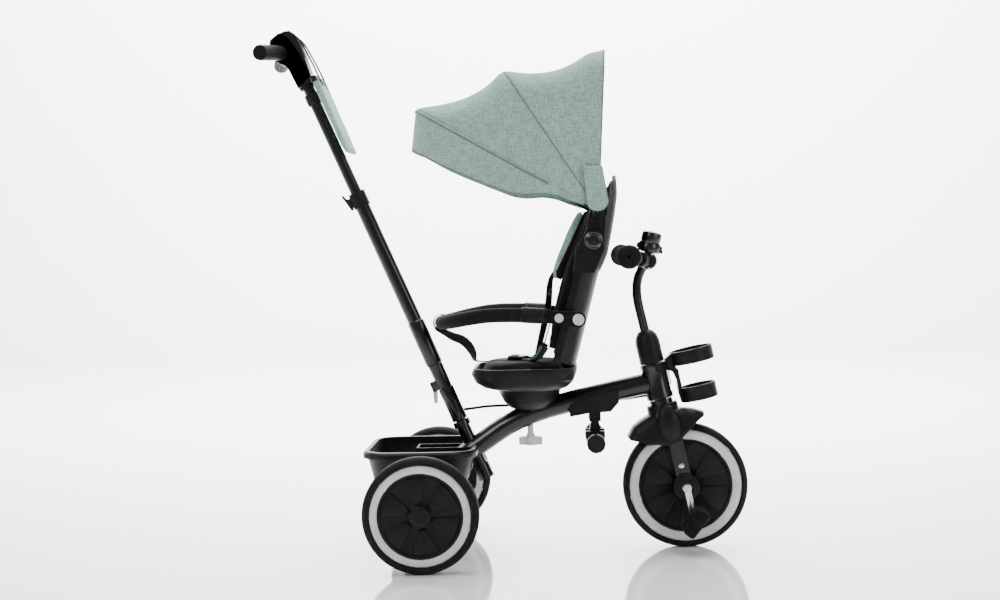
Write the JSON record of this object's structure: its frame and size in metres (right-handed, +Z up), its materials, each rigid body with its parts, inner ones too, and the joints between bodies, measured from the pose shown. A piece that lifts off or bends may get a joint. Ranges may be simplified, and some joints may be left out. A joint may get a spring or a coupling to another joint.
{
  "type": "children's tricycle",
  "caption": "Child's push tricycle with a reversible bucket seat, fold-back fabric canopy, padded bumper bar, storage basket and a steering parent handle.",
  "frame": {"origin": "centre of the bounding box on the floor", "axes": "+X towards the front wheel, +Y to the tricycle's left side, +Z up"},
  "size_m": [0.9726, 0.522, 1.0636],
  "materials": {
    "frame_black": "gloss powder coat",
    "plastic_black": "fine moulded grain",
    "bell_black": "gloss",
    "tyre_foam": "matt",
    "rim_grey": "satin",
    "crank_chrome": "bright plate",
    "axle_steel": "turned",
    "grip_rubber": "ribbed",
    "bumper_foam": "foam sleeve",
    "button_silver": "silver paint",
    "knob_grey": "satin",
    "canopy_fabric": "woven melange",
    "liner_fabric": "padded weave"
  },
  "bodies": {
    "frame": {"main_beam": "frame_black", "head_tube": "frame_black", "rear_axle_tube": "frame_black", "rear_axle_rod": "axle_steel", "handle_socket": "frame_black", "basket": "plastic_black", "seat_base": "plastic_black", "footrest_clamp": "plastic_black", "cup_holder": "plastic_black"},
    "steering": {"fork": "frame_black", "front_fender": "plastic_black", "head_cover": "plastic_black", "handlebar_stem": "frame_black", "handlebar": "frame_black", "grip_left": "grip_rubber", "grip_right": "grip_rubber", "bell": "bell_black"},
    "bell_lever": {"bell_lever": "bell_black"},
    "front_wheel": {"front_tyre": "tyre_foam", "front_rim": "rim_grey", "front_disc": "plastic_black", "crankshaft": "crank_chrome"},
    "pedal_left": {"pedal_left": "grip_rubber"},
    "pedal_right": {"pedal_right": "grip_rubber"},
    "rear_wheel_left": {"rear_tyre_left": "tyre_foam", "rear_rim_left": "rim_grey", "rear_disc_left": "plastic_black"},
    "rear_wheel_right": {"rear_tyre_right": "tyre_foam", "rear_rim_right": "rim_grey", "rear_disc_right": "plastic_black"},
    "handle_lower": {"handle_lower_tube": "frame_black", "handle_clamp": "plastic_black"},
    "quick_release": {"quick_release_lever": "knob_grey"},
    "clamp_lever": {"handle_clamp_lever": "plastic_black"},
    "handle_upper": {"handle_upper_tube": "frame_black", "handle_head": "plastic_black", "handle_grip_bar": "grip_rubber", "handle_bag": "canopy_fabric"},
    "steering_rod": {"steering_rod": "frame_black"},
    "seat": {"seat_shell": "plastic_black", "seat_cushion": "liner_fabric", "backrest_shell": "plastic_black", "backrest_cushion": "liner_fabric", "shoulder_pad_left": "canopy_fabric", "shoulder_pad_right": "canopy_fabric", "canopy_bracket_left": "plastic_black", "canopy_bracket_right": "plastic_black", "canopy_hoop_rear": "plastic_black", "canopy_panel_rear": "canopy_fabric"},
    "seat_knob": {"seat_knob": "knob_grey"},
    "bumper": {"bumper_bar": "bumper_foam"},
    "pivot_button_left": {"pivot_button_left": "button_silver"},
    "pivot_button_right": {"pivot_button_right": "button_silver"},
    "release_button_left": {"release_button_left": "button_silver"},
    "release_button_right": {"release_button_right": "button_silver"},
    "canopy_middle": {"canopy_hoop_middle": "plastic_black", "canopy_panel_front": "canopy_fabric"},
    "canopy_front": {"canopy_hoop_front": "plastic_black", "canopy_visor": "canopy_fabric"},
    "footrest": {"footrest": "plastic_black"}
  },
  "joints": [
    {"name": "steer", "type": "hinge", "parent": "frame", "child": "steering", "pos_m": [0.3501, 0, 0.12505], "axis": [-0.2079, 0, 0.9781], "range_deg": [-15, 15]},
    {"name": "front_wheel_spin", "type": "hinge", "parent": "steering", "child": "front_wheel", "pos_m": [0.3593, 0, 0.127], "axis": [0, 1, 0], "continuous": true},
    {"name": "pedal_left_spin", "type": "hinge", "parent": "front_wheel", "child": "pedal_left", "pos_m": [0.34641, 0.09, 0.18765], "axis": [0, 1, 0], "continuous": true},
    {"name": "pedal_right_spin", "type": "hinge", "parent": "front_wheel", "child": "pedal_right", "pos_m": [0.37219, -0.09, 0.06635], "axis": [0, 1, 0], "continuous": true},
    {"name": "bell_lever_push", "type": "hinge", "parent": "steering", "child": "bell_lever", "pos_m": [0.30678, -0.036, 0.60449], "axis": [0, 1, 0], "range_deg": [-12, 0], "stiffness_Nm_per_rad": 0.05},
    {"name": "rear_wheel_left_spin", "type": "hinge", "parent": "frame", "child": "rear_wheel_left", "pos_m": [-0.1627, 0.235, 0.1125], "axis": [0, 1, 0], "continuous": true},
    {"name": "rear_wheel_right_spin", "type": "hinge", "parent": "frame", "child": "rear_wheel_right", "pos_m": [-0.1627, -0.235, 0.1125], "axis": [0, 1, 0], "continuous": true},
    {"name": "handle_turn", "type": "hinge", "parent": "frame", "child": "handle_lower", "pos_m": [-0.0727, 0, 0.207], "axis": [-0.3971, 0, 0.9178], "range_deg": [-15, 15]},
    {"name": "rod_pivot", "type": "hinge", "parent": "handle_lower", "child": "steering_rod", "pos_m": [-0.10527, 0.04, 0.28226], "axis": [-0.3971, 0, 0.9178], "range_deg": [-15, 15]},
    {"name": "quick_release_swing", "type": "hinge", "parent": "handle_lower", "child": "quick_release", "pos_m": [-0.15185, 0, 0.34055], "axis": [0, 1, 0], "range_deg": [0, 70]},
    {"name": "clamp_lever_open", "type": "hinge", "parent": "handle_lower", "child": "clamp_lever", "pos_m": [-0.31047, 0, 0.70231], "axis": [0, 1, 0], "range_deg": [-80, 0]},
    {"name": "handle_telescope", "type": "slide", "parent": "handle_lower", "child": "handle_upper", "axis": [-0.3971, 0, 0.9178], "range_m": [-0.12, 0]},
    {"name": "seat_swivel", "type": "hinge", "parent": "frame", "child": "seat", "pos_m": [0.0453, 0, 0.331], "axis": [0, 0, 1], "range_deg": [0, 180]},
    {"name": "seat_knob_turn", "type": "hinge", "parent": "frame", "child": "seat_knob", "pos_m": [0.0453, 0, 0.222], "axis": [0, 0, 1], "continuous": true},
    {"name": "bumper_tilt", "type": "hinge", "parent": "seat", "child": "bumper", "pos_m": [0.1463, 0, 0.475], "axis": [0, 1, 0], "range_deg": [0, 50]},
    {"name": "pivot_button_left_press", "type": "slide", "parent": "bumper", "child": "pivot_button_left", "axis": [0, -1, 0], "range_m": [0, 0.0015], "stiffness_N_per_m": 800},
    {"name": "pivot_button_right_press", "type": "slide", "parent": "bumper", "child": "pivot_button_right", "axis": [0, 1, 0], "range_m": [0, 0.0015], "stiffness_N_per_m": 800},
    {"name": "release_button_left_press", "type": "slide", "parent": "bumper", "child": "release_button_left", "axis": [0, -1, 0], "range_m": [0, 0.0015], "stiffness_N_per_m": 800},
    {"name": "release_button_right_press", "type": "slide", "parent": "bumper", "child": "release_button_right", "axis": [0, 1, 0], "range_m": [0, 0.0015], "stiffness_N_per_m": 800},
    {"name": "canopy_fold_middle", "type": "hinge", "parent": "seat", "child": "canopy_middle", "pos_m": [0.1893, 0, 0.686], "axis": [0, 1, 0], "range_deg": [0, 26], "deforming": ["canopy_panel_rear"]},
    {"name": "canopy_fold_front", "type": "hinge", "parent": "canopy_middle", "child": "canopy_front", "pos_m": [0.1893, 0, 0.686], "axis": [0, 1, 0], "range_deg": [0, 19.5], "deforming": ["canopy_panel_front"]},
    {"name": "footrest_fold", "type": "hinge", "parent": "frame", "child": "footrest", "pos_m": [0.1773, 0, 0.272], "axis": [0, 1, 0], "range_deg": [0, 50]}
  ],
  "couplings": [
    {"joint": "handle_turn", "follows": "steer", "ratio": 1},
    {"joint": "rod_pivot", "follows": "steer", "ratio": -1},
    {"joint": "canopy_fold_front", "follows": "canopy_fold_middle", "ratio": 0.75}
  ]
}
